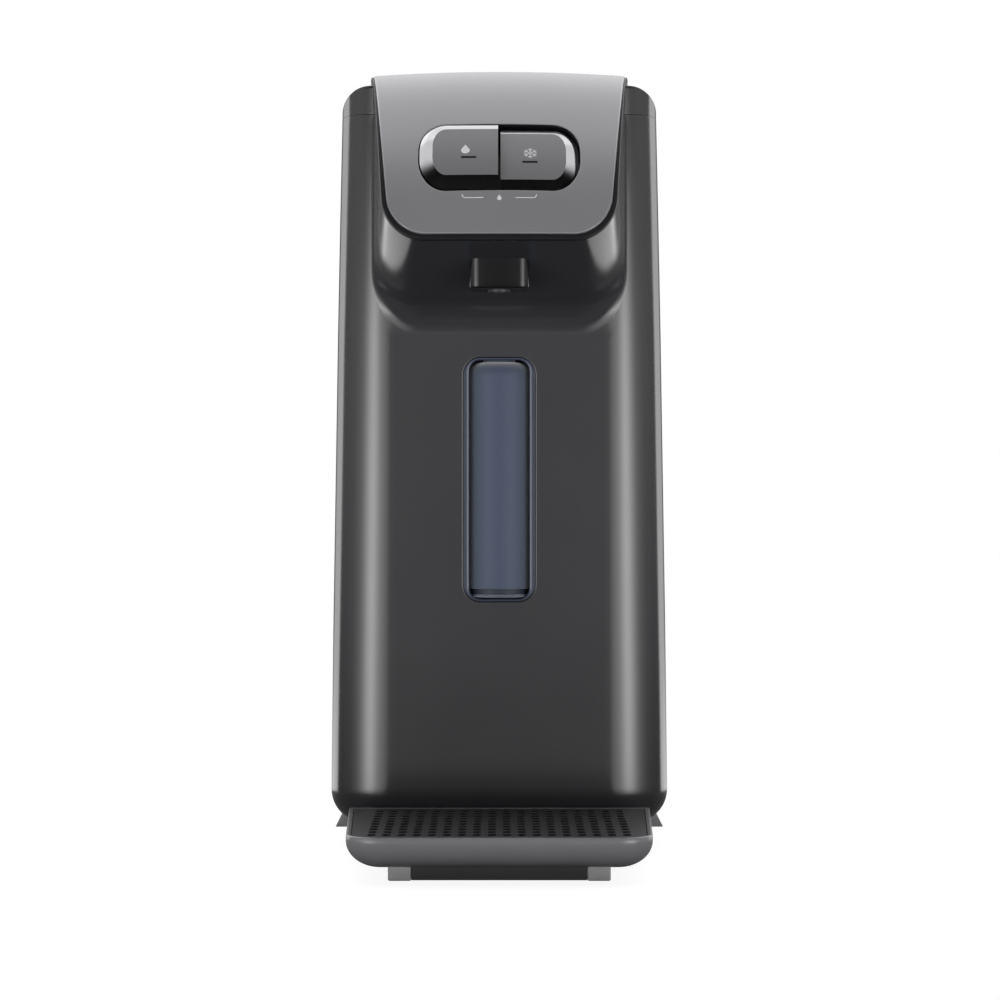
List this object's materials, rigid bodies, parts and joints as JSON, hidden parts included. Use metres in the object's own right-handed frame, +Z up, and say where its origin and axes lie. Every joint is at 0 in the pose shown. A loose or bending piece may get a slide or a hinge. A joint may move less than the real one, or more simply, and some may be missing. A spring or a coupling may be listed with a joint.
{
  "type": "water purifier",
  "caption": "Countertop water purifier with an overhanging dispensing head, push keys, a filter cartridge in the front, thermoelectric cooling inside and a slide-out drip tray.",
  "frame": {"origin": "on the table, under the middle of the whole object", "axes": "+Z up, -Y towards the user, +X to the user's right"},
  "size_m": [0.1768, 0.356, 0.3973],
  "materials": {
    "housing": "glossy charcoal moulding",
    "cowl": "glossy dark moulding",
    "trim": "glossy black",
    "panel": "satin metallic grey",
    "well": "glossy black",
    "key": "satin grey face with a glossy black border",
    "lens": "smoked light guide",
    "spring": "spring steel",
    "switch": "moulded",
    "spout": "glossy black",
    "nozzle": "matt black",
    "filter": "satin blue",
    "band": "dark ring",
    "pocket": "navy moulding",
    "seal": "soft black",
    "manifold": "moulded white",
    "tray": "glossy charcoal moulding",
    "grille": "satin black",
    "base": "moulded black",
    "foot": "grey rubber",
    "rear": "fine texture",
    "screw": "plated",
    "tank": "stainless",
    "foam": "foam",
    "sheet": "coated sheet",
    "alloy": "extruded",
    "ceramic": "white ceramic",
    "fan": "moulded black",
    "supply": "moulded case",
    "board": "lacquered board",
    "fitting": "moulded white",
    "gland": "black rubber",
    "hose": "milky tube"
  },
  "bodies": {
    "housing": {"main_housing": "housing", "top_cover": "housing", "head_cowl": "cowl", "panel_trim": "trim", "control_panel": "panel", "key_well": "well", "left_key_spring": "spring", "right_key_spring": "spring", "left_key_switch": "switch", "right_key_switch": "switch", "spout_block": "spout", "spout_nozzle": "nozzle", "filter_pocket": "pocket", "filter_head": "manifold", "base_plate": "base", "front_feet": "foot", "rear_feet": "foot", "rear_cover": "rear", "rear_screws": "screw", "base_screws": "screw", "plain_valve": "manifold", "cold_valve": "manifold", "cold_tank": "tank", "insulation_front": "foam", "insulation_rear": "foam", "tank_shelf": "sheet", "cold_plate": "alloy", "thermo_module": "ceramic", "heat_sink": "alloy", "fan_frame": "fan", "fan_screws": "screw", "power_supply": "supply", "control_board": "board", "inlet_fitting": "fitting", "cable_gland": "gland", "inlet_hose": "hose", "feed_hose": "hose", "cold_hose": "hose", "plain_spout_hose": "hose", "cold_spout_hose": "hose"},
    "left_key": {"left_key": "key", "left_lens": "lens"},
    "right_key": {"right_key": "key", "right_lens": "lens"},
    "filter": {"filter_cartridge": "filter", "filter_ring": "band", "filter_seal": "seal"},
    "drip_tray": {"drip_tray": "tray"},
    "drip_grille": {"drip_grille": "grille"},
    "fan_rotor": {"fan_rotor": "fan"}
  },
  "joints": [
    {"name": "left_key_press", "type": "slide", "parent": "housing", "child": "left_key", "axis": [0, 0.7771, -0.6293], "range_m": [0, 0.0043], "stiffness_N_per_m": 400, "springref_m": -0.004, "deforming": ["left_key_spring"]},
    {"name": "right_key_press", "type": "slide", "parent": "housing", "child": "right_key", "axis": [0, 0.7771, -0.6293], "range_m": [-0.0033, 0.001], "stiffness_N_per_m": 400, "springref_m": -0.0073, "deforming": ["right_key_spring"]},
    {"name": "filter_twist", "type": "hinge", "parent": "housing", "child": "filter", "pos_m": [0, -0.025, 0.19], "axis": [0, 0, -1], "range_deg": [0, 90]},
    {"name": "drip_tray_pull", "type": "slide", "parent": "housing", "child": "drip_tray", "axis": [0, -1, 0], "range_m": [0, 0.15]},
    {"name": "drip_grille_lift", "type": "slide", "parent": "drip_tray", "child": "drip_grille", "axis": [0, 0, 1], "range_m": [0, 0.06]},
    {"name": "fan_spin", "type": "hinge", "parent": "housing", "child": "fan_rotor", "pos_m": [0, 0.156, 0.225], "axis": [0, 1, 0], "continuous": true}
  ]
}
